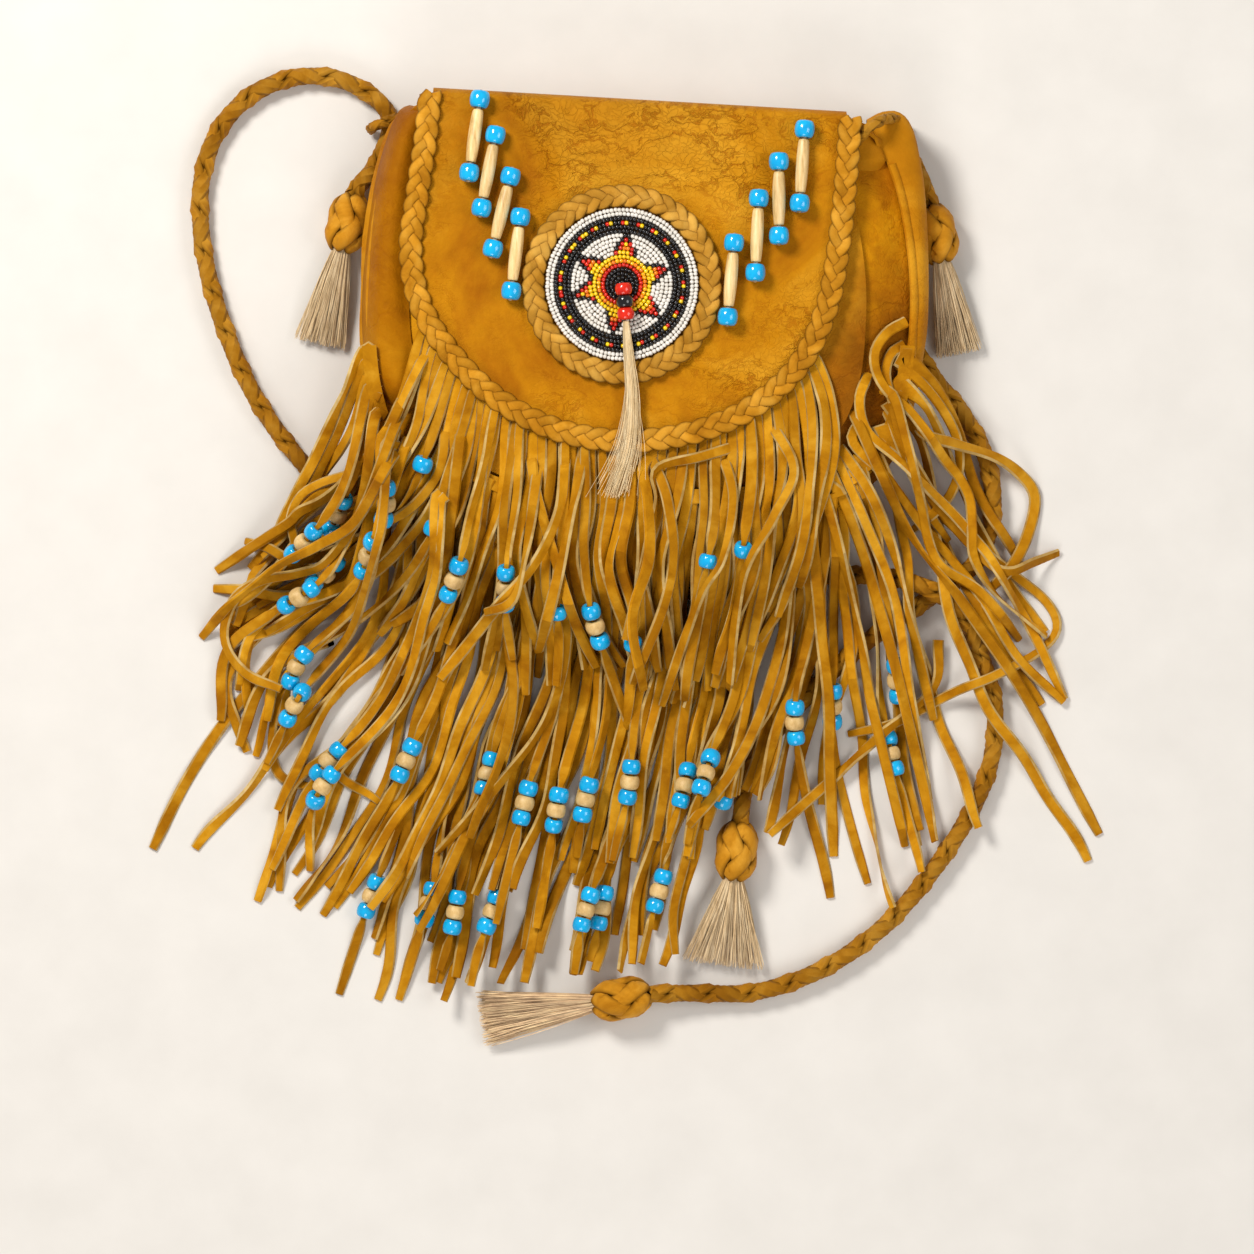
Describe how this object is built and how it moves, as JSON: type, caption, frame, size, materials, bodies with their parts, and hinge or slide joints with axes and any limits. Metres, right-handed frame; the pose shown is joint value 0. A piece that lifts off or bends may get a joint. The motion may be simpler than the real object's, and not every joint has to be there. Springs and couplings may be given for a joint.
{
  "type": "beaded fringe bag",
  "caption": "Soft leather shoulder pouch with a hinged flap, braided edges, bead rosette, bone pipes, beaded fringe and braided strap cords with hair tassels.",
  "frame": {"origin": "on the table under the pouch, on the flat of its back", "axes": "+Z out of the pouch's front, +Y towards the flap's fold, +X to the right as the front is seen"},
  "size_m": [0.427, 0.4675, 0.0606],
  "materials": {
    "leather_tan": "soft tan deerskin with pebbled grain",
    "leather_deep": "deeper tan leather",
    "braid_leather": "braided leather strips",
    "fringe_leather": "cut leather strips with pale edges",
    "blue_bead": "opaque sky-blue beads",
    "bone": "polished bone",
    "bead_white": "opaque white seed beads",
    "bead_black": "opaque black seed beads",
    "bead_red": "opaque red seed beads",
    "bead_yellow": "opaque yellow seed beads",
    "horsehair": "cream horsehair"
  },
  "bodies": {
    "bag": {"back_panel": "leather_deep", "gusset": "leather_deep", "front_panel": "leather_tan", "gusset_piping": "leather_deep", "back_fringe": "fringe_leather", "side_fringe_left": "fringe_leather", "side_fringe_right": "fringe_leather", "front_fringe": "fringe_leather", "strap_loop_left": "braid_leather", "strap_loop_right": "braid_leather", "strap_cord_left": "braid_leather", "strap_cord_right": "braid_leather", "strap_tail_right": "braid_leather", "knot_left": "braid_leather", "knot_right": "braid_leather", "knot_bottom": "braid_leather", "knot_end": "braid_leather", "tassel_left": "horsehair", "tassel_right": "horsehair", "tassel_bottom": "horsehair", "tassel_end": "horsehair"},
    "flap": {"flap_panel": "leather_tan", "flap_braid": "braid_leather", "flap_fringe": "fringe_leather", "rosette_ring_braid": "braid_leather", "rosette_backing": "leather_tan", "rosette_rim_white": "bead_white", "rosette_band_black": "bead_black", "rosette_field_white": "bead_white", "rosette_star_red": "bead_red", "rosette_star_yellow": "bead_yellow", "rosette_centre_black": "bead_black", "drop_bead_upper": "bead_red", "drop_bead_middle": "bead_black", "drop_bead_lower": "bead_red", "drop_hair": "horsehair", "hair_pipe_1": "bone", "hair_pipe_2": "bone", "hair_pipe_3": "bone", "hair_pipe_4": "bone", "hair_pipe_5": "bone", "hair_pipe_6": "bone", "hair_pipe_7": "bone", "hair_pipe_8": "bone", "blue_bead_1": "blue_bead", "blue_bead_2": "blue_bead", "blue_bead_3": "blue_bead", "blue_bead_4": "blue_bead", "blue_bead_5": "blue_bead", "blue_bead_6": "blue_bead", "blue_bead_7": "blue_bead", "blue_bead_8": "blue_bead", "blue_bead_9": "blue_bead", "blue_bead_10": "blue_bead", "blue_bead_11": "blue_bead", "blue_bead_12": "blue_bead", "blue_bead_13": "blue_bead", "blue_bead_14": "blue_bead", "blue_bead_15": "blue_bead", "blue_bead_16": "blue_bead"}
  },
  "joints": [
    {"name": "flap_hinge", "type": "hinge", "parent": "bag", "child": "flap", "pos_m": [0, 0.09497, 0.041], "axis": [-0.9983, 0.0579, 0], "range_deg": [0, 150]}
  ]
}
